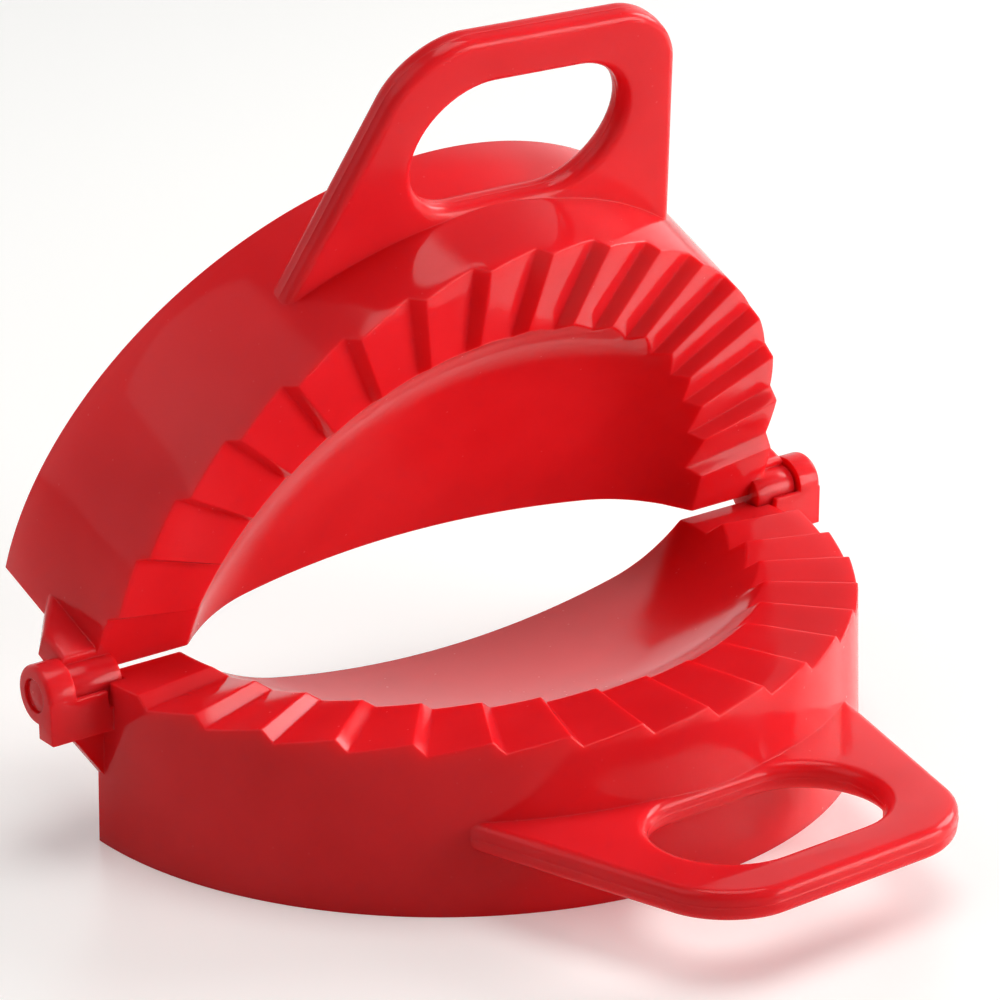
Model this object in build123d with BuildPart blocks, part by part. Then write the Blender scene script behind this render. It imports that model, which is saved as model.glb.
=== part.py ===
from build123d import *
import os
from math import asin, atan2, cos, radians, sin, tan

# Empanada press: two moulded halves on a common hinge. Each half has a deep half-round skirt
# whose lower edge cuts the dough, a toothed rim that crimps it, a dished pocket for the filling
# and a loop handle. The front half carries two lugs and the rear half two barrels. A short pin
# at each end runs in the lug and is pressed into the barrel.
#
# Each half is made in its own frame: hinge axis along X through the origin, rim up, the half
# towards -Y. It is then turned about the hinge axis and set over the origin of the press.

# Overall sizes, mm and degrees
cutter_diameter = 150.0   # outside of the skirt at its cutting edge
skirt_flare = 1.0         # the toothed rim's outside radius is this much less
axis_height = 30.0        # hinge axis above the cutting edge
opening_angle = 113.0     # rear half at rest: 0 lies flat beside the front half, 180 is closed
hinge_gap = 0.25          # each half stops this far short of the plane through the hinge axis
wall = 2.0                # moulded wall of the skirt, the rim and the pocket
cutting_edge = 1.0        # width of the edge that cuts the dough

# Teeth of the rim
tooth_count = 17
tooth_height = 2.1
steep_angle = 1.65        # taken by the steep side of a tooth, seen from the middle of the press
ridge_angle = 0.25        # taken by the flat top of a tooth
closed_gap = 0.7          # room for dough between the two toothed rims when closed

# Pocket for the filling: a dish with a shallow floor and a steeper flank
rim_width = 16.7          # from the pocket to the outside of the skirt
pocket_depth = 13.1       # floor below the hinge axis
floor_curve = 190.0       # radius of the shallow floor
flank_width = 19.3        # the flank rises over this width inside the rim

# Webs that close each end of the skirt and carry the hinge
web_thickness = 2.0
web_overhang = 6.5        # outer end of a web past the rim
web_shoulder = 8.5        # the outer end stands upright down to here below the hinge axis
web_foot = 17.0           # lower edge below the hinge axis
web_tuck = 5.3            # inner end of a web under the pocket's flank

# Handle
handle_length = 35.2      # outer edge past the cutting edge
handle_half_width = 26.8  # at the outer edge, before its corners are rounded
handle_side_angle = 16.9  # each side leans outwards to the skirt
handle_corner = 15.2
handle_drop = 13.2        # rim side of the handle below the hinge axis
handle_thickness = 5.3
handle_edge = 1.6         # rounding of its outer edges
grip_bar = 9.3            # width of the bar outside the finger hole
hole_width = 43.6         # finger hole, a slot with round ends
hole_strip = 0.4          # least strip of handle between the skirt and the finger hole
hole_edge = 2.0           # rounding of the hole's edges

# Hinge
pin_radius = 3.0
pin_running_fit = 0.05    # radial, in the lug
pin_press_fit = 0.01      # radial, in the barrel
pin_chamfer = 0.4
pin_recess = 0.4          # the pin stops short of the lug's outer face
pin_grip = 8.5            # length of pin held in the barrel
lug_radius = 5.3
lug_overhang = 12.1       # outer face of a lug past the rim
lug_width = 5.1
lug_edge = 0.9            # rounding of the lug's outer edge
block_depth = 7.6         # lower face of the block under a lug, below the hinge axis
block_top = 0.3           # its upper face below the hinge axis
block_back = 0.9          # its back face in front of the hinge axis
barrel_radius = 4.0
barrel_tuck = 2.8         # inner end of a barrel inside the rim
barrel_side_gap = 0.4     # between a barrel and its lug
barrel_clearance = 0.35   # around a barrel, in the front half
arm_width = 5.3           # block that thickens a web behind a barrel, from the hinge axis
arm_top = 1.5             # its rim side below the hinge axis
root = 1.0                # the hinge blocks sink this far into the skirt's wall

# Sizes that follow
cutter_radius = cutter_diameter / 2
rim_radius = cutter_radius - skirt_flare
pocket_radius = rim_radius - rim_width
floor_reach = pocket_radius - flank_width
web_reach = rim_radius + web_overhang
web_inner = pocket_radius - web_tuck
handle_reach = cutter_radius + handle_length
lug_reach = rim_radius + lug_overhang
barrel_start = rim_radius - barrel_tuck
tooth_pitch = 180 / (tooth_count + 1)
tooth_peak = (tooth_height - closed_gap) / 2
tooth_valley = tooth_peak - tooth_height
rim_underside = tooth_valley - wall
lug_inner = lug_reach - lug_width
barrel_end = lug_inner - barrel_side_gap
pin_start = barrel_end - pin_grip
pin_end = lug_reach - pin_recess
hinge_plane = Plane.XZ.offset(hinge_gap)     # looks towards -Y
cutter_back = hinge_gap * cos(radians(opening_angle)) + axis_height * sin(radians(opening_angle))
hinge_y = (handle_reach - cutter_back) / 2   # the origin lies under the middle of the press
over_size = 5.0                              # how far a cutting tool runs past the material


def skirt_outside(z):
    """Outer radius of the skirt at height z in the half's own frame."""
    share = (tooth_peak - z) / (tooth_peak + axis_height)
    return rim_radius + (cutter_radius - rim_radius) * share


def pocket_section(skin):
    """Section of the pocket's hollow, grown all round by a skin, in the XZ plane."""
    floor_lean = asin(floor_reach / floor_curve)
    floor_end = Vector(floor_reach, floor_curve * (1 - cos(floor_lean)) - pocket_depth)
    brim = Vector(pocket_radius, tooth_peak)
    brim_lean = 2 * atan2(brim.Y - floor_end.Y, brim.X - floor_end.X) - floor_lean
    floor_end += Vector(sin(floor_lean), -cos(floor_lean)) * skin
    brim += Vector(sin(brim_lean), -cos(brim_lean)) * skin
    with BuildSketch(Plane.XZ) as section:
        with BuildLine():
            floor = TangentArc((0, -pocket_depth - skin), floor_end, tangent=(1, 0))
            TangentArc(floor_end, brim, tangent=floor % 1)
            Polyline(brim, (brim.X, over_size), (0, over_size), (0, -pocket_depth - skin))
        make_face()
    return section.sketch


def make_shell():
    """Skirt, plain rim, dished pocket and end webs, before the teeth are cut."""
    with BuildPart() as shell:
        with BuildSketch(Plane.XZ):
            add(pocket_section(wall))
            with Locations((0, tooth_valley)):
                Rectangle(2 * rim_radius, axis_height, align=(Align.CENTER, Align.MAX), mode=Mode.INTERSECT)
            with BuildLine():
                Polyline(
                    (pocket_radius, tooth_peak),
                    (rim_radius, tooth_peak),
                    (cutter_radius, -axis_height),
                    (cutter_radius - cutting_edge, -axis_height),
                    (rim_radius - wall, rim_underside),
                    (pocket_radius - wall, rim_underside),
                    (pocket_radius - wall, tooth_peak),
                    close=True,
                )
            make_face()
            add(pocket_section(0), mode=Mode.SUBTRACT)
        revolve(axis=Axis.Z)
        split(bisect_by=hinge_plane, keep=Keep.TOP)
        with BuildSketch(hinge_plane):
            with BuildLine():
                Polyline(
                    (web_inner, tooth_valley),
                    (rim_radius - wall, tooth_valley - wall / 2),
                    (web_reach, -arm_top),
                    (web_reach, -web_shoulder),
                    (skirt_outside(-web_foot), -web_foot),
                    (web_inner, -web_foot),
                    close=True,
                )
            make_face()
            add(pocket_section(wall / 2), mode=Mode.SUBTRACT)
            mirror(about=Plane.YZ)
        extrude(amount=web_thickness)
    return shell.part


def make_tooth_gap():
    """The hollow between two ridges, steep on its first side, as a wedge along +X."""
    half_gap = (tooth_pitch - ridge_angle) / 2
    with BuildPart() as gap:
        for reach in (pocket_radius - over_size, rim_radius + over_size):
            first, root_of_tooth, last = (
                reach * tan(radians(angle)) for angle in (-half_gap, steep_angle - half_gap, half_gap)
            )
            with BuildSketch(Plane.YZ.offset(reach)):
                with BuildLine():
                    Polyline(
                        (first, tooth_peak + over_size),
                        (first, tooth_peak),
                        (root_of_tooth, tooth_valley),
                        (last, tooth_peak),
                        (last, tooth_peak + over_size),
                        close=True,
                    )
                make_face()
        loft(ruled=True)
    return gap.part


def make_end_land():
    """The hollow over the low land after the last tooth, as a wedge along +X."""
    with BuildPart() as land:
        for reach in (pocket_radius - over_size, rim_radius + over_size):
            first, root_of_tooth, last = (
                reach * tan(radians(angle)) for angle in (-steep_angle, 0, tooth_pitch)
            )
            with BuildSketch(Plane.YZ.offset(reach)):
                with BuildLine():
                    Polyline(
                        (first, tooth_peak + over_size),
                        (first, tooth_peak),
                        (root_of_tooth, tooth_valley),
                        (last, tooth_valley),
                        (last, tooth_peak + over_size),
                        close=True,
                    )
                make_face()
        loft(ruled=True)
    return land.part


def make_handle():
    """Loop handle, up to the middle of the skirt's wall."""
    lean = tan(radians(handle_side_angle))
    hole_outer = handle_reach - grip_bar
    hole_inner = skirt_outside(-handle_drop - handle_thickness) + hole_strip
    foot = rim_radius / 2
    with BuildPart() as handle:
        with BuildSketch(Plane.XY.offset(-handle_drop)) as outline:
            with BuildLine():
                Polyline(
                    (-handle_half_width, -handle_reach),
                    (handle_half_width, -handle_reach),
                    (handle_half_width + lean * (handle_reach - foot), -foot),
                    (-handle_half_width - lean * (handle_reach - foot), -foot),
                    close=True,
                )
            make_face()
            fillet(outline.vertices().group_by(Axis.Y)[0], handle_corner)
        extrude(amount=-handle_thickness)
        fillet(handle.faces().filter_by(Axis.Z).edges(), handle_edge)
        with BuildSketch(Plane.XY.offset(-handle_drop)):
            with Locations((0, -(hole_outer + hole_inner) / 2)):
                SlotOverall(hole_width, hole_outer - hole_inner)
        extrude(amount=-handle_thickness, mode=Mode.SUBTRACT)
        fillet(handle.edges(Select.LAST).filter_by(Axis.Z, reverse=True), hole_edge)
        with BuildSketch(Plane.XY.offset(-handle_drop)):
            Circle(skirt_outside(-handle_drop) - wall / 2)
        extrude(amount=-handle_thickness, mode=Mode.SUBTRACT)
    return handle.part


def make_moulding():
    """What both halves share: shell, handle and teeth."""
    shell, handle, tooth_gap, end_land = make_shell(), make_handle(), make_tooth_gap(), make_end_land()
    first_gap = 180 + 1.5 * tooth_pitch - (steep_angle + ridge_angle) / 2
    with BuildPart() as moulding:
        add(shell)
        add(handle)
        with PolarLocations(0, tooth_count - 1, first_gap, tooth_pitch * (tooth_count - 1)):
            add(tooth_gap, mode=Mode.SUBTRACT)
        with PolarLocations(0, 1, 360 - tooth_pitch + steep_angle / 2):
            add(end_land, mode=Mode.SUBTRACT)
    return moulding.part


def make_lugs():
    """Two lugs, each on its block, still without their bores."""
    with BuildPart() as lugs:
        with BuildSketch(Plane.YZ.offset(lug_inner)):
            Circle(lug_radius)
        extrude(amount=lug_width)
        fillet(lugs.edges().filter_by(GeomType.CIRCLE).sort_by(Axis.X)[-1], lug_edge)
        with BuildSketch(Plane.XZ.offset(block_back)):
            with BuildLine():
                Polyline(
                    (rim_radius - root, -block_depth),
                    (lug_reach, -block_depth),
                    (lug_reach, 0),
                    (lug_inner, 0),
                    (lug_inner, -block_top),
                    (rim_radius + closed_gap, -block_top),
                    (rim_radius + closed_gap, rim_underside),
                    (rim_radius - root, rim_underside),
                    close=True,
                )
            make_face()
        extrude(amount=lug_radius - block_back)
        mirror(about=Plane.YZ)
    return lugs.part


def make_barrels():
    """Two barrels, each with the block that ties it to the web down to the web's foot."""
    with BuildPart() as barrels:
        with BuildSketch(Plane.YZ.offset(barrel_start)):
            Circle(barrel_radius)
        extrude(amount=barrel_end - barrel_start)
        with BuildSketch(hinge_plane):
            with BuildLine():
                Polyline(
                    (rim_radius - root, -arm_top),
                    (web_reach, -arm_top),
                    (web_reach, -web_shoulder),
                    (skirt_outside(-web_foot), -web_foot),
                    (rim_radius - root, -web_foot),
                    close=True,
                )
            make_face()
        extrude(amount=arm_width - hinge_gap)
        mirror(about=Plane.YZ)
    return barrels.part


def bore(start, end, radius):
    """Two mirrored cylinders along the hinge axis, to be cut away."""
    with BuildPart() as cutters:
        with BuildSketch(Plane.YZ.offset(start)):
            Circle(radius)
        extrude(amount=end - start)
        mirror(about=Plane.YZ)
    return cutters.part


def make_pin():
    """Right-hand hinge pin."""
    with BuildPart() as pin:
        with BuildSketch(Plane.YZ.offset(pin_start)):
            Circle(pin_radius)
        extrude(amount=pin_end - pin_start)
        chamfer(pin.edges(), pin_chamfer)
    return pin.part


# Places of the halves in the press
at_hinge = Location((0, hinge_y, axis_height))
turned_round = Location((0, 0, 0), (0, 0, 180))
lifted = Location((0, 0, 0), (opening_angle, 0, 0))

moulding = make_moulding()
saddle = bore(barrel_start - barrel_side_gap, lug_inner, barrel_radius + barrel_clearance)
lug_bores = bore(lug_inner - over_size, lug_reach + over_size, pin_radius + pin_running_fit)
pin_sockets = bore(pin_start, barrel_end + over_size, pin_radius + pin_press_fit)
lugs, barrels, pin = make_lugs(), make_barrels(), make_pin()

with BuildPart() as front_half:
    with Locations(at_hinge):
        add(moulding)
        add(lugs)
        add(saddle, mode=Mode.SUBTRACT)
        add(lug_bores, mode=Mode.SUBTRACT)
front_half.part.label = "front_half"

with BuildPart() as rear_half:
    with Locations(at_hinge * lifted * turned_round):
        add(moulding)
        add(barrels)
        add(pin_sockets, mode=Mode.SUBTRACT)
rear_half.part.label = "rear_half"

with BuildPart() as right_hinge_pin:
    with Locations(at_hinge):
        add(pin)
right_hinge_pin.part.label = "right_hinge_pin"

with BuildPart() as left_hinge_pin:
    with Locations(at_hinge * turned_round):
        add(pin)
left_hinge_pin.part.label = "left_hinge_pin"

os.makedirs("parts", exist_ok=True)
export_step(front_half.part, "parts/front_half.step")
export_step(rear_half.part, "parts/rear_half.step")
export_step(right_hinge_pin.part, "parts/right_hinge_pin.step")
export_step(left_hinge_pin.part, "parts/left_hinge_pin.step")
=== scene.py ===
import bpy
import bmesh
from math import acos, asin, atan2, cos, hypot, pi, radians, sin, sqrt, tan
from mathutils import Matrix, Vector
from mathutils.kdtree import KDTree


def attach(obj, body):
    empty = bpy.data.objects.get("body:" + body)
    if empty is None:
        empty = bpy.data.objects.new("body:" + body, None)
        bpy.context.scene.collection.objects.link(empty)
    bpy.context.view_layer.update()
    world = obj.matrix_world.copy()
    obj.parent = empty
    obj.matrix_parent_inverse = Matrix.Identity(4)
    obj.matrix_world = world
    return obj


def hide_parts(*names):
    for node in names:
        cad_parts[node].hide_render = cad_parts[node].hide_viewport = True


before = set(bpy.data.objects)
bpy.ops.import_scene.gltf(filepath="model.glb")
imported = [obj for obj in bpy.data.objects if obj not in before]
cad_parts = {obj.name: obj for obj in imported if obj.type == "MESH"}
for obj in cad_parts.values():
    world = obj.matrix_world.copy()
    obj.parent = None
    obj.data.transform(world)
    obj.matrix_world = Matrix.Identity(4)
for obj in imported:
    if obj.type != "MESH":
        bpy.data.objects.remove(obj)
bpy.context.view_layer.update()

hingeAxis = Vector((0, 0.041341, 0.03))  # in the frame, metres
openingAngle = 113                       # of the rear half at rest, degrees
cutterLength = 40                        # of the finger hole's cutter, mm


class Socket:
    # wraps a node's output, so that sums and products of masks read as Python

    def __init__(self, tree, out):
        self.tree, self.out = tree, out

    def math(self, operation, *values):
        return self.node("ShaderNodeMath", {"operation": operation}, dict(enumerate(values)))

    def node(self, kind, settings=None, sockets=None, output=0):
        made = self.tree.nodes.new(kind)
        for name, value in (settings or {}).items():
            if name == "stops":
                ramp = made.color_ramp
                while len(ramp.elements) < len(value):
                    ramp.elements.new(0.5)
                for element, (place, colour) in zip(ramp.elements, value):
                    element.position, element.color = place, colour
            else:
                setattr(made, name, value)
        for name, value in (sockets or {}).items():
            if isinstance(value, Socket):
                self.tree.links.new(value.out, made.inputs[name])
            elif value is not None:
                made.inputs[name].default_value = value
        return Socket(self.tree, made.outputs[output])

    def __add__(self, other):
        return self.math("ADD", self, other)

    def __radd__(self, other):
        return self.math("ADD", other, self)

    def __sub__(self, other):
        return self.math("SUBTRACT", self, other)

    def __rsub__(self, other):
        return self.math("SUBTRACT", other, self)

    def __mul__(self, other):
        return self.math("MULTIPLY", self, other)

    def __rmul__(self, other):
        return self.math("MULTIPLY", other, self)


def emptyMaterial(name):
    material = bpy.data.materials.new(name)
    material.use_nodes = True
    tree = material.node_tree
    tree.nodes.clear()
    return material, tree


def start(tree):
    return Socket(tree, None)


def finishMaterial(tree, shader):
    end = tree.nodes.new("ShaderNodeOutputMaterial")
    tree.links.new(shader.out, end.inputs["Surface"])


# red moulded plastic: glossy, and light goes a few millimetres into it; lengths in metres
plastic = {
    "red": (0.80, 0.0165, 0.0235, 1),
    "deepRed": (0.73, 0.0130, 0.0190, 1),
    "wornRed": (0.88, 0.0400, 0.0500, 1),
    "glow": (1.0, 0.08, 0.08),
    "glowDepth": 0.0032,
    "roughness": 0.11,
    "hazeAmount": 0.10, "scratchAmount": 0.07, "wearAmount": 0.15, "speckAmount": 0.2,
    "edgeRadius": 0.00035,
    "sinkDepth": 0.00012, "scratchDepth": 0.00003,
}


def makePlastic():
    material, tree = emptyMaterial("redPlastic")
    s = start(tree)
    place = s.node("ShaderNodeTexCoord", output="Object")

    # the melt's slow change of tone, and edges rubbed a little paler and duller
    flow = s.node("ShaderNodeTexNoise", sockets={"Vector": place, "Scale": 34.0, "Detail": 2.0})
    tone = s.node("ShaderNodeValToRGB", {
        "stops": [(0.38, plastic["deepRed"]), (0.60, plastic["red"])]}, {"Fac": flow})
    rounding = s.node("ShaderNodeBevel", {"samples": 6}, {"Radius": plastic["edgeRadius"]})
    facing = s.node("ShaderNodeNewGeometry", output="Normal")
    alike = s.node("ShaderNodeVectorMath", {"operation": "DOT_PRODUCT"},
                   {0: rounding, 1: facing}, output="Value")
    rub = s.node("ShaderNodeTexNoise", sockets={"Vector": place, "Scale": 420.0, "Detail": 2.0})
    wear = s.node("ShaderNodeMapRange", sockets={
        "Value": (1 - alike) * 5 * rub, "From Min": 0.05, "From Max": 0.6})
    colour = s.node("ShaderNodeMix", {"data_type": "RGBA"}, {
        "Factor": wear * 0.45, 6: tone, 7: plastic["wornRed"]}, output=2)

    # gloss broken by faint haze, hairline scratches and a few specks
    haze = s.node("ShaderNodeTexNoise", sockets={"Vector": place, "Scale": 120.0, "Detail": 2.0})
    strokes = s.node("ShaderNodeMapping", sockets={
        "Vector": place, "Rotation": (0.3, 0.9, 0.6), "Scale": (60.0, 2600.0, 900.0)})
    scratch = s.node("ShaderNodeTexNoise", sockets={"Vector": strokes, "Scale": 1.0, "Detail": 2.0})
    scratched = s.node("ShaderNodeMapRange", sockets={"Value": scratch, "From Min": 0.62, "From Max": 0.78})
    grit = s.node("ShaderNodeTexVoronoi", sockets={"Vector": place, "Scale": 260.0}, output="Distance")
    speck = s.node("ShaderNodeMapRange", sockets={"Value": grit, "From Min": 0.10, "From Max": 0.04})
    dulled = (haze - 0.5) * plastic["hazeAmount"] + scratched * plastic["scratchAmount"]
    spoiled = wear * plastic["wearAmount"] + speck * plastic["speckAmount"]
    roughness = plastic["roughness"] + dulled + spoiled

    # sink and flow leave the surface very slightly uneven
    sink = s.node("ShaderNodeTexNoise", sockets={"Vector": place, "Scale": 60.0, "Detail": 2.0})
    uneven = s.node("ShaderNodeBump", sockets={
        "Strength": 0.35, "Distance": plastic["sinkDepth"], "Height": sink, "Normal": rounding})
    normal = s.node("ShaderNodeBump", sockets={
        "Strength": 0.10, "Distance": plastic["scratchDepth"],
        "Height": speck * 0.8 - scratched * 0.3, "Normal": uneven})
    shader = s.node("ShaderNodeBsdfPrincipled", sockets={
        "Base Color": colour, "Roughness": roughness, "Normal": normal,
        "IOR": 1.5, "Specular IOR Level": 0.16, "Subsurface Weight": 1.0,
        "Subsurface Radius": plastic["glow"], "Subsurface Scale": plastic["glowDepth"]})
    finishMaterial(tree, shader)
    return material


redPlastic = makePlastic()
print("material ready")


# pieces are modelled in millimetres about the hinge axis, rim up, and set in place at the end
def activate(piece):
    bpy.ops.object.select_all(action="DESELECT")
    piece.select_set(True)
    bpy.context.view_layer.objects.active = piece


def pick(piece, chosen, kind="verts"):
    # selects the vertices, edges or faces that the test picks, in edit mode
    mesh = bmesh.from_edit_mesh(piece.data)
    bpy.context.tool_settings.mesh_select_mode = (kind == "verts", kind == "edges", kind == "faces")
    for part in (*mesh.verts, *mesh.edges, *mesh.faces):
        part.select = False
    for part in getattr(mesh, kind):
        if chosen(part):
            part.select = True
    mesh.select_flush_mode()
    bmesh.update_edit_mesh(piece.data)


def editing(piece):
    activate(piece)
    bpy.ops.object.mode_set(mode="EDIT")


def doneEditing():
    bpy.ops.object.mode_set(mode="OBJECT")


def combine(piece, other, operation):
    activate(piece)
    joint = piece.modifiers.new("joint", "BOOLEAN")
    joint.operation, joint.object, joint.solver = operation, other, "EXACT"
    bpy.ops.object.modifier_apply(modifier="joint")
    bpy.data.objects.remove(other)


def prism(name, outline, depth, facing):
    # a flat outline of corners, extruded by depth along facing
    bpy.ops.object.select_all(action="DESELECT")
    bpy.ops.mesh.primitive_circle_add(vertices=len(outline), radius=1, fill_type="NGON")
    piece = bpy.context.object
    piece.name = name
    for vertex, corner in zip(piece.data.vertices, outline):
        vertex.co = corner
    editing(piece)
    bpy.ops.mesh.select_all(action="SELECT")
    bpy.ops.mesh.extrude_region_move(TRANSFORM_OT_translate={"value": Vector(facing) * depth})
    bpy.ops.mesh.select_all(action="SELECT")
    bpy.ops.mesh.normals_make_consistent(inside=False)
    doneEditing()
    return piece


def isLevel(edge):
    return abs(edge.verts[0].co.z - edge.verts[1].co.z) < 0.01


def barAlongHinge(name, radius, inner, outer, sides, side=1):
    bpy.ops.object.select_all(action="DESELECT")
    bpy.ops.mesh.primitive_cylinder_add(
        vertices=sides, radius=radius, depth=outer - inner,
        location=(side * (inner + outer) / 2, 0, 0), rotation=(0, radians(90), 0))
    bar = bpy.context.object
    bpy.ops.object.transform_apply(location=True, rotation=True, scale=True)
    bar.name = name
    return bar


# skirt, toothed rim and dished pocket
shell = {
    "rim": 74.0, "edge": 75.0, "height": 30.0, "wall": 2.0, "edgeWidth": 1.0,
    "peak": 0.7, "valley": -1.4,
    "teeth": 16, "pitch": 10.0, "steep": 1.65, "ridge": 0.25,
    "ridgeRounding": 0.11, "valleyRounding": 0.22, "columnStep": 1.3,
    "dishBrim": 57.3, "dishDepth": 13.1, "floorRadius": 190.0, "floorReach": 38.0,
    "rimRounding": 0.35, "brimRounding": 0.45, "cutRounding": 0.15, "innerRounding": 0.6,
    "toothFoot": -2.6, "dishToothFoot": -2.9,  # below these heights every tooth has the same profile
    "arcSteps": 12, "hingeGap": 0.25,
}
shell["underRim"] = shell["valley"] - shell["wall"]
floorLean = asin(shell["floorReach"] / shell["floorRadius"])
floorEdge = Vector((shell["floorReach"], shell["floorRadius"] * (1 - cos(floorLean)) - shell["dishDepth"]))
brimChord = Vector((shell["dishBrim"], shell["peak"])) - floorEdge
flankTurn = 2 * (atan2(brimChord.y, brimChord.x) - floorLean)
flankRadius = brimChord.length / (2 * sin(flankTurn / 2))
flankCentre = floorEdge + Vector((-sin(floorLean), cos(floorLean))) * flankRadius


def skirtOutside(z):
    share = (shell["peak"] - z) / (shell["peak"] + shell["height"])
    return shell["rim"] + (shell["edge"] - shell["rim"]) * share


def onFlank(z, skin=0):
    # the place on the dish's flank at height z, inside or on the skin's outside
    reach = flankRadius + skin
    return Vector((flankCentre.x + sqrt(reach ** 2 - (flankCentre.y - z) ** 2), z))


def rounded(before, corner, after, cut, steps):
    # the points that round one corner, cut back by the same length on both sides
    start = corner + (before - corner).normalized() * cut
    end = corner + (after - corner).normalized() * cut
    points = []
    for i in range(steps + 1):
        t = i / steps
        points.append(start * (1 - t) ** 2 + corner * (2 * t * (1 - t)) + end * t ** 2)
    return points


def between(start, end, count):
    return [start.lerp(end, i / (count + 1)) for i in range(1, count + 1)]


def dishArc(skin, rising):
    # floor and lower flank, out from the middle, skin below the dish's surface
    points = []
    floorCentre = Vector((0, shell["floorRadius"] - shell["dishDepth"]))
    for i in range(shell["arcSteps"] + 1):
        lean = floorLean * i / shell["arcSteps"]
        points.append(floorCentre + Vector((sin(lean), -cos(lean))) * (shell["floorRadius"] + skin))
    top = shell["dishToothFoot"] if skin == 0 else shell["underRim"]
    steepest = acos((flankCentre.y - top) / (flankRadius + skin))
    for i in range(1, shell["arcSteps"] + 1):
        lean = floorLean + (steepest - floorLean) * i / shell["arcSteps"]
        points.append(flankCentre + Vector((sin(lean), -cos(lean))) * (flankRadius + skin))
    return points if rising else points[::-1]


def shellProfile(top):
    # reach and height of each row for a tooth of this height: dish, rim, skirt and back under
    s = shell
    brim, shoulder = onFlank(top), Vector((skirtOutside(top), top))
    foot = Vector((s["edge"], -s["height"]))
    footIn = Vector((s["edge"] - s["edgeWidth"], -s["height"]))
    roof = Vector((s["rim"] - s["wall"], s["underRim"]))
    dishWall = onFlank(s["underRim"], s["wall"])
    rows = dishArc(0, True)
    brimRound = rounded(rows[-1], brim, shoulder, s["brimRounding"], 4)
    rows += between(rows[-1], brimRound[0], 1) + brimRound
    rimRound = rounded(brim, shoulder, foot, s["rimRounding"], 4)
    rows += between(brimRound[-1], rimRound[0], 3) + rimRound
    steady = Vector((skirtOutside(s["toothFoot"]), s["toothFoot"]))
    rows += [steady] + between(steady, foot, 3)
    rows += rounded(steady, foot, footIn, s["cutRounding"], 2)
    rows += rounded(foot, footIn, roof, s["cutRounding"], 2)
    rows += between(footIn, roof, 2)
    rows += rounded(footIn, roof, dishWall, s["innerRounding"], 3)
    rows += between(roof, dishWall, 2)
    return rows + dishArc(s["wall"], False)


def toothColumns():
    # angle and height of each column, from the high land at one end to the low land at the other
    s = shell
    first = 180 + 1.5 * s["pitch"] - (s["steep"] + s["ridge"]) / 2 - (s["pitch"] - s["ridge"]) / 2
    corners = [Vector((180, s["peak"]))]
    for i in range(s["teeth"] + 1):
        start = first + s["pitch"] * i
        corners += [Vector((start, s["peak"])), Vector((start + s["steep"], s["valley"]))]
        if i < s["teeth"]:
            corners.append(Vector((start + s["pitch"] - s["ridge"], s["peak"])))
    corners.append(Vector((360, s["valley"])))
    perDegree = radians(1) * (s["rim"] + s["dishBrim"]) / 2
    flat = [Vector((c.x * perDegree, c.y)) for c in corners]
    columns = [flat[0]]
    for before, corner, after in zip(flat, flat[1:], flat[2:]):
        cut = s["valleyRounding"] if corner.y < 0 else s["ridgeRounding"]
        arc = rounded(before, corner, after, cut, 3)
        spare = int((arc[0].x - columns[-1].x) / perDegree / s["columnStep"])
        columns += between(columns[-1], arc[0], spare) + arc
    spare = int((flat[-1].x - columns[-1].x) / perDegree / s["columnStep"])
    columns += between(columns[-1], flat[-1], spare) + [flat[-1]]
    return [(c.x / perDegree, c.y) for c in columns]


def makeShell():
    columns = toothColumns()
    rows = shellProfile(shell["peak"])
    bpy.ops.object.select_all(action="DESELECT")
    bpy.ops.mesh.primitive_circle_add(vertices=len(rows), radius=1, fill_type="NOTHING")
    piece = bpy.context.object
    piece.name = "shell"
    for vertex, row in zip(piece.data.vertices, rows):
        vertex.co = (-row.x, 0, row.y)
    nearest = KDTree(len(rows))
    for i, row in enumerate(rows):
        nearest.insert((row.x, row.y, 0), i)
    nearest.balance()
    last = len(rows) - 1
    editing(piece)
    pick(piece, lambda edge: {v.index for v in edge.verts} == {0, last}, "edges")
    bpy.ops.mesh.delete(type="EDGE")
    bpy.ops.mesh.select_all(action="SELECT")
    bpy.ops.mesh.spin(steps=len(columns) - 1, angle=pi, center=(0, 0, 0), axis=(0, 0, 1))
    doneEditing()
    profiles = [shellProfile(top) for angle, top in columns]
    for vertex in piece.data.vertices:
        x, y, z = vertex.co
        row = nearest.find((hypot(x, y), z, 0))[1]
        column = round(atan2(abs(y), -x) / pi * (len(columns) - 1)) if hypot(x, y) > 0.001 else 0
        angle = radians(columns[column][0])
        reach, height = profiles[column][row]
        vertex.co = (reach * cos(angle), reach * sin(angle), height)
    editing(piece)
    bpy.ops.mesh.select_all(action="SELECT")
    bpy.ops.mesh.remove_doubles(threshold=0.0005)
    bpy.ops.mesh.normals_make_consistent(inside=False)
    bpy.ops.mesh.bisect(plane_co=(0, -0.02, 0), plane_no=(0, 1, 0), use_fill=True, clear_outer=True)
    doneEditing()
    return piece


# loop handle
handle = {
    "reach": 110.11, "halfWidth": 26.8, "sideAngle": 16.9, "corner": 15.2,
    "top": -13.2, "thickness": 5.3, "edge": 1.6,
    "bar": 9.3, "holeWidth": 43.6, "holeStrip": 0.4, "holeEdge": 2.0,
    "lineHeight": 0.09, "lineWidth": 0.16,
    "foot": 45.0, "cornerSteps": 20, "endSteps": 28,
}


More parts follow.
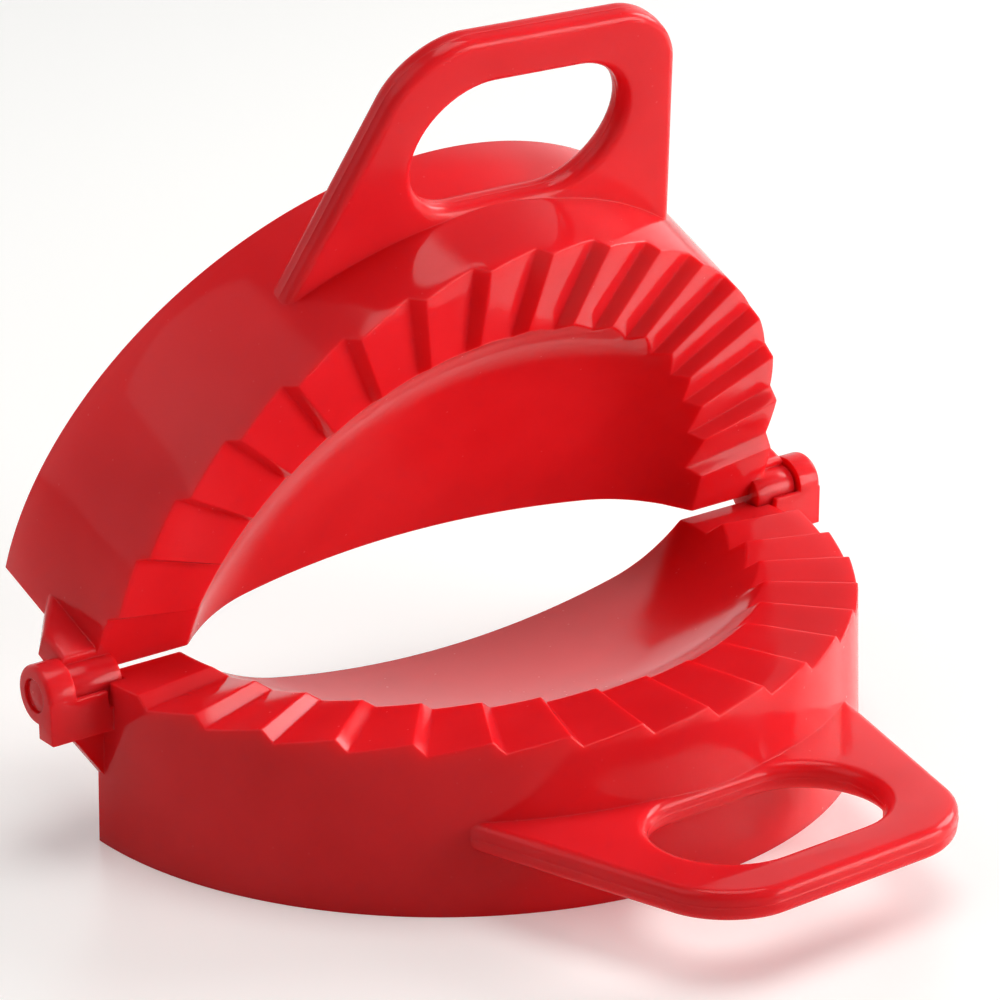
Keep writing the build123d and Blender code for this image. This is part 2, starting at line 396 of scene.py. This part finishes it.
def makeHandle():
    h = handle
    lean, foot = tan(radians(h["sideAngle"])), h["foot"]
    bottom, middle = h["top"] - h["thickness"], h["top"] - h["thickness"] / 2
    wide = h["halfWidth"] + lean * (h["reach"] - foot)
    piece = prism("handle", [
        (-h["halfWidth"], -h["reach"], h["top"]), (h["halfWidth"], -h["reach"], h["top"]),
        (wide, -foot, h["top"]), (-wide, -foot, h["top"])], h["thickness"], (0, 0, -1))

    # round corners, then rounded edges all the way round
    editing(piece)
    pick(piece, lambda edge: not isLevel(edge)
         and all(v.co.y < 1 - h["reach"] for v in edge.verts), "edges")
    cut = h["corner"] / tan(radians(90 + h["sideAngle"]) / 2)
    bpy.ops.mesh.bevel(offset=cut, segments=h["cornerSteps"], profile=0.5, affect="EDGES")
    pick(piece, lambda edge: isLevel(edge)
         and not all(v.co.y > -foot - 0.1 for v in edge.verts), "edges")
    bpy.ops.mesh.bevel(offset=h["edge"], segments=6, profile=0.5, affect="EDGES")
    doneEditing()

    # finger hole: a slot with round ends and rounded edges
    holeOuter = h["reach"] + h["lineHeight"] - h["bar"]
    holeInner = skirtOutside(bottom) + h["holeStrip"]
    endRadius, centre = (holeOuter - holeInner) / 2, (holeOuter + holeInner) / 2
    straight = h["holeWidth"] / 2 - endRadius
    outline = []
    for side in (1, -1):
        for i in range(h["endSteps"] + 1):
            turn = radians(-90 + 180 * i / h["endSteps"])
            reach = straight + cos(turn) * endRadius
            outline.append((side * reach, side * sin(turn) * endRadius - centre, 0))
    combine(piece, prism("hole", outline, cutterLength, (0, 0, -1)), "DIFFERENCE")

    def onHole(vertex):
        x = max(abs(vertex.co.x) - straight, 0)
        return abs(hypot(x, vertex.co.y + centre) - endRadius) < 0.02

    editing(piece)
    pick(piece, lambda edge: isLevel(edge) and all(onHole(v) for v in edge.verts)
         and edge.calc_length() < h["holeWidth"] / 2, "edges")
    bpy.ops.mesh.bevel(offset=h["holeEdge"], segments=7, profile=0.5, affect="EDGES")

    # the mould's parting line stands a hair proud at half thickness
    for level in (middle - h["lineWidth"], middle, middle + h["lineWidth"]):
        bpy.ops.mesh.select_all(action="SELECT")
        bpy.ops.mesh.bisect(plane_co=(0, 0, level), plane_no=(0, 0, 1))
    pick(piece, lambda vertex: abs(vertex.co.z - middle) < 0.001)
    bpy.ops.transform.shrink_fatten(value=h["lineHeight"])
    doneEditing()

    # the foot ends inside the skirt's wall
    bpy.ops.object.select_all(action="DESELECT")
    bpy.ops.mesh.primitive_cylinder_add(
        vertices=360, radius=skirtOutside(h["top"]) - shell["wall"] / 2, depth=2 * shell["height"])
    combine(piece, bpy.context.object, "DIFFERENCE")
    return piece


# webs that close the skirt's ends
web = {
    "thickness": 2.0, "reach": 80.5, "inner": 52.0, "shoulder": 8.5, "foot": 17.0,
    "top": 1.5, "underRim": 2.4, "innerSteps": 4,
}


def makeWeb(side):
    # the outline's inner edge follows the middle of the dish's wall
    w = web
    halfWall, steps = shell["wall"] / 2, w["innerSteps"]
    drop = sqrt((flankRadius + halfWall) ** 2 - (w["inner"] - flankCentre.x) ** 2)
    innerTop = flankCentre.y - drop
    heights = [-w["underRim"] + (innerTop + w["underRim"]) * i / steps for i in range(steps + 1)]
    inside = [onFlank(height, halfWall) for height in heights]
    corners = [
        *[(point.x, point.y) for point in inside[::-1]],
        (shell["rim"] - shell["wall"], -w["underRim"]), (w["reach"], -w["top"]), (w["reach"], -w["shoulder"]),
        (skirtOutside(-w["foot"]), -w["foot"]), (w["inner"], -w["foot"])]
    return prism("web", [(side * x, 1.0, z) for x, z in corners],
                 1.0 + shell["hingeGap"] + w["thickness"], (0, -1, 0))


def makeHalfMoulding():
    # shell, webs and handle in one, cut level just short of the hinge axis
    piece = makeShell()
    for side in (1, -1):
        combine(piece, makeWeb(side), "UNION")
    editing(piece)
    bpy.ops.mesh.select_all(action="SELECT")
    bpy.ops.mesh.bisect(
        plane_co=(0, -shell["hingeGap"], 0), plane_no=(0, 1, 0), use_fill=True, clear_outer=True)
    doneEditing()
    combine(piece, makeHandle(), "UNION")
    return piece


# lugs on the front half, barrels on the rear half, a pin at each end
hinge = {
    "lugRadius": 5.3, "lugInner": 81.0, "lugOuter": 86.1, "lugEdge": 0.9,
    "blockInner": 73.0, "blockShoulder": 74.7, "blockDepth": 7.6, "blockTop": 0.3, "blockBack": 0.9,
    "blockEdge": 0.35, "blockInset": 0.01,
    "barrelRadius": 4.0, "barrelInner": 71.2, "barrelOuter": 80.6, "barrelEdge": 0.2,
    "saddleRadius": 4.35, "saddleInner": 70.8, "cutterSpare": 5.0,
    "armInner": 73.0, "armWidth": 5.3, "armTop": 1.5, "armEdge": 1.1,
    "boreRadius": 3.05, "socketRadius": 3.01,
    "pinRadius": 3.0, "pinInner": 72.1, "pinOuter": 85.7, "pinChamfer": 0.4,
}


def bevelSharp(piece, width, segments, chosen=lambda edge: True):
    editing(piece)
    pick(piece, lambda edge: edge.calc_face_angle(0) > radians(30) and chosen(edge), "edges")
    bpy.ops.mesh.bevel(offset=width, segments=segments, profile=0.5, affect="EDGES")
    doneEditing()


def makeLug(side):
    h = hinge
    lug = barAlongHinge("lug", h["lugRadius"], h["lugInner"], h["lugOuter"], 72, side)
    bevelSharp(lug, h["lugEdge"], 5,
               lambda edge: min(abs(v.co.x) for v in edge.verts) > h["lugOuter"] - 0.01)
    corners = [
        (h["blockInner"], -h["blockDepth"]), (h["lugOuter"], -h["blockDepth"]), (h["lugOuter"], 0),
        (h["lugInner"], 0), (h["lugInner"], -h["blockTop"]), (h["blockShoulder"], -h["blockTop"]),
        (h["blockShoulder"], shell["underRim"]), (h["blockInner"], shell["underRim"])]
    block = prism("block", [(side * x, -h["blockBack"], z) for x, z in corners],
                  h["lugRadius"] - h["blockInset"] - h["blockBack"], (0, -1, 0))
    bevelSharp(block, h["blockEdge"], 3,
               lambda edge: min(abs(v.co.x) for v in edge.verts) > h["blockShoulder"] - 0.1)
    combine(lug, block, "UNION")
    return lug


def makeFrontMoulding():
    h = hinge
    piece = makeHalfMoulding()
    for side in (1, -1):
        combine(piece, makeLug(side), "UNION")
    for side in (1, -1):
        saddle = barAlongHinge("saddle", h["saddleRadius"], h["saddleInner"], h["lugInner"], 64, side)
        combine(piece, saddle, "DIFFERENCE")
        bore = barAlongHinge("bore", h["boreRadius"], h["lugInner"] - h["cutterSpare"],
                             h["lugOuter"] + h["cutterSpare"], 64, side)
        combine(piece, bore, "DIFFERENCE")
    return piece


def makeRearMoulding():
    h = hinge
    piece = makeHalfMoulding()
    for side in (1, -1):
        barrel = barAlongHinge("barrel", h["barrelRadius"], h["barrelInner"], h["barrelOuter"], 64, side)
        bevelSharp(barrel, h["barrelEdge"], 2)
        corners = [
            (h["armInner"], -h["armTop"]), (web["reach"], -h["armTop"]), (web["reach"], -web["shoulder"]),
            (skirtOutside(-web["foot"]), -web["foot"]), (h["armInner"], -web["foot"])]
        arm = prism("arm", [(side * x, -shell["hingeGap"], z) for x, z in corners],
                    h["armWidth"] - shell["hingeGap"], (0, -1, 0))
        bevelSharp(arm, h["armEdge"], 4,
                   lambda edge: all(v.co.y < 0.01 - h["armWidth"] for v in edge.verts)
                   and max(abs(v.co.x) for v in edge.verts) > web["reach"] - 0.1)
        combine(piece, arm, "UNION")
        combine(piece, barrel, "UNION")
        socket = barAlongHinge("socket", h["socketRadius"], h["pinInner"],
                               h["barrelOuter"] + h["cutterSpare"], 64, side)
        combine(piece, socket, "DIFFERENCE")
    return piece


def makePin(side):
    h = hinge
    pin = barAlongHinge("pin", h["pinRadius"], h["pinInner"], h["pinOuter"], 64, side)
    bevelSharp(pin, h["pinChamfer"], 3)
    return pin


def place(piece, name, node, body, turn):
    # sets a finished piece into the press, in metres
    piece.name = name
    piece.data.name = name
    piece.data.transform(Matrix.Translation(hingeAxis) @ turn @ Matrix.Scale(0.001, 4))
    activate(piece)
    bpy.ops.object.shade_smooth_by_angle(angle=radians(28))
    piece.data.materials.clear()
    piece.data.materials.append(redPlastic)
    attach(piece, body)
    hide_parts(node)
    print(name, len(piece.data.polygons), "faces")


upright = Matrix.Identity(4)
turnedRound = Matrix.Rotation(pi, 4, "Z")
lifted = Matrix.Rotation(radians(openingAngle), 4, "X") @ turnedRound

place(makeFrontMoulding(), "frontMoulding", "front_half", "front", upright)
place(makeRearMoulding(), "rearMoulding", "rear_half", "rear", lifted)
place(makePin(1), "rightHingePin", "right_hinge_pin", "rear", upright)
place(makePin(-1), "leftHingePin", "left_hinge_pin", "rear", upright)


# floor and the light that comes from all round
room = {
    "floorSize": 9.0,
    "floorColour": (0.90, 0.885, 0.855, 1),
    "floorLift": 0.22,
    "fill": 0.15,
    "ceiling": 0.35,
    "nearWall": 0.28,
    "dimSide": (-0.6, -0.8, 0.0),
}


def makeFloor():
    bpy.ops.object.select_all(action="DESELECT")
    bpy.ops.mesh.primitive_plane_add(size=room["floorSize"], location=(0, 0, 0))
    floor = bpy.context.object
    floor.name = "floor"
    material, tree = emptyMaterial("paleFloor")
    s = start(tree)
    shader = s.node("ShaderNodeBsdfPrincipled", sockets={
        "Base Color": room["floorColour"], "Roughness": 0.3, "IOR": 1.45})
    lift = s.node("ShaderNodeEmission", sockets={"Color": (1, 1, 1, 1), "Strength": room["floorLift"]})
    seen = s.node("ShaderNodeLightPath", output="Is Camera Ray")
    both = s.node("ShaderNodeAddShader", sockets={0: shader, 1: lift})
    finishMaterial(tree, s.node("ShaderNodeMixShader", sockets={"Fac": seen, 1: shader, 2: both}))
    floor.data.materials.append(material)


def makeWorld():
    # white to look at and in reflections near the horizon, dimmer overhead and on the camera's side
    world = bpy.data.worlds.new("studio")
    bpy.context.scene.world = world
    world.use_nodes = True
    tree = world.node_tree
    tree.nodes.clear()
    s = start(tree)
    camera = s.node("ShaderNodeLightPath", output="Is Camera Ray")
    glossy = s.node("ShaderNodeLightPath", output="Is Glossy Ray")
    through = s.node("ShaderNodeLightPath", output="Is Transmission Ray")
    toward = s.node("ShaderNodeTexCoord", output="Generated")
    up = s.node("ShaderNodeSeparateXYZ", sockets={"Vector": toward}, output="Z")
    near = s.node("ShaderNodeVectorMath", {"operation": "DOT_PRODUCT"},
                  {0: toward, 1: room["dimSide"]}, output="Value")
    ceiling = s.node("ShaderNodeMapRange", {"interpolation_type": "SMOOTHSTEP"}, {
        "Value": up, "From Min": 0.55, "From Max": 0.85, "To Min": 1.0, "To Max": room["ceiling"]})
    front = s.node("ShaderNodeMapRange", {"interpolation_type": "SMOOTHSTEP"}, {
        "Value": near, "From Min": 0.0, "From Max": 0.8, "To Min": 1.0, "To Max": room["nearWall"]})
    shown = s.math("MAXIMUM", glossy, through)
    level = (room["fill"] + shown * (1 - room["fill"])) * ceiling * front
    strength = camera + (1 - camera) * level
    light = s.node("ShaderNodeBackground", sockets={"Color": (1, 1, 1, 1), "Strength": strength})
    end = tree.nodes.new("ShaderNodeOutputWorld")
    tree.links.new(light.out, end.inputs["Surface"])


lamps = {
    "overheadLamp": {"azimuth": 40, "elevation": 84, "distance": 1.3, "size": 0.88, "power": 7.2},
    "leftFill": {"azimuth": -95, "elevation": 42, "distance": 1.5, "size": 1.4, "power": 4.2},
    "windowLamp": {"azimuth": 86, "elevation": 25, "distance": 1.3, "size": 0.72, "power": 8.6},
    "frontLamp": {"azimuth": 40, "elevation": 5, "distance": 1.4, "size": 1.1, "power": 21.0},
}


def makeLamp(name, azimuth, elevation, distance, size, power):
    a, e = radians(azimuth), radians(elevation)
    back = Vector((sin(a) * cos(e), -cos(a) * cos(e), sin(e)))
    bpy.ops.object.light_add(type="AREA", location=hingeAxis + back * distance)
    lamp = bpy.context.object
    lamp.name = name
    lamp.data.shape = "DISK"
    lamp.data.size = size
    lamp.data.energy = power
    lamp.rotation_euler = (-back).to_track_quat("-Z", "Y").to_euler()


camera = {
    "azimuth": -37.31,
    "elevation": 20.50,
    "roll": -0.252,
    "distance": 0.65436,
    "right": 0.009601,
    "up": 0.042267,
    "lookAt": (0, 0.041341, 0),
    "lens": 128.11,
}


def makeCamera():
    turn = (Matrix.Rotation(radians(camera["azimuth"]), 3, "Z")
            @ Matrix.Rotation(radians(90 - camera["elevation"]), 3, "X"))
    place = turn @ Vector((camera["right"], camera["up"], camera["distance"])) + Vector(camera["lookAt"])
    turn = turn @ Matrix.Rotation(radians(camera["roll"]), 3, "Z")
    bpy.ops.object.camera_add(location=place, rotation=turn.to_euler())
    made = bpy.context.object
    made.data.sensor_width = 36
    made.data.lens = camera["lens"]
    made.data.clip_start, made.data.clip_end = 0.01, 20
    bpy.context.scene.camera = made


makeFloor()
makeWorld()
for name, values in lamps.items():
    makeLamp(name, **values)
makeCamera()
bpy.context.scene.view_settings.view_transform = "Standard"
print("stage, light and camera ready")
